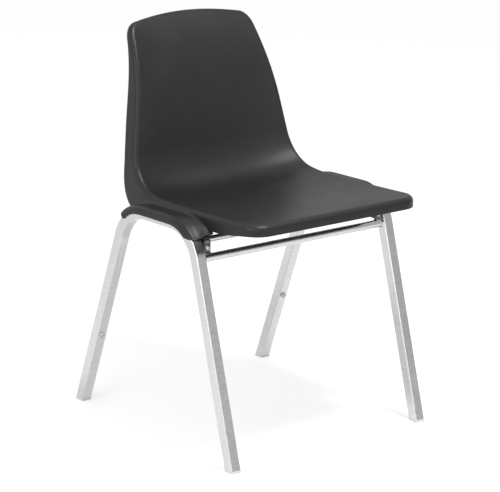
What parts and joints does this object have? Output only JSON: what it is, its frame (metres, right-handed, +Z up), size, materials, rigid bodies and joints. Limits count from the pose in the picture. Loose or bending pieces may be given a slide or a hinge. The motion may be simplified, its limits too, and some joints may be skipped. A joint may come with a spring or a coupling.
{
  "type": "stacking chair",
  "caption": "Armless stacking chair: a one-piece moulded seat and back hooked over two bent square-tube side frames joined by round crossbars, with glides in the leg ends.",
  "frame": {"origin": "on the floor, under the middle of the chair's bounding box", "axes": "+Z up, the sitter faces -Y, +X is the sitter's left"},
  "size_m": [0.5048, 0.5179, 0.7898],
  "materials": {
    "shell": "fine-grained polypropylene",
    "frame": "chrome plated steel",
    "tabs": "dark coated steel",
    "fasteners": "plated steel",
    "glides": "pale nylon",
    "bumpers": "translucent soft plastic"
  },
  "bodies": {
    "root": {"seat_shell": "shell", "side_frame_left": "frame", "side_frame_right": "frame", "front_crossbar": "frame", "support_rod": "frame", "rear_rod": "frame", "front_crossbar_welds": "frame", "support_rod_welds": "frame", "rear_rod_welds": "frame", "tab_welds": "tabs", "front_tab_left": "tabs", "front_tab_right": "tabs", "rear_tab_left": "tabs", "rear_tab_right": "tabs", "front_screws": "fasteners", "front_nuts": "fasteners", "rear_screws": "fasteners", "front_glide_left": "glides", "front_glide_right": "glides", "rear_glide_left": "glides", "rear_glide_right": "glides", "front_bumper_left": "bumpers", "front_bumper_right": "bumpers", "rear_bumper_left": "bumpers", "rear_bumper_right": "bumpers"}
  },
  "joints": []
}
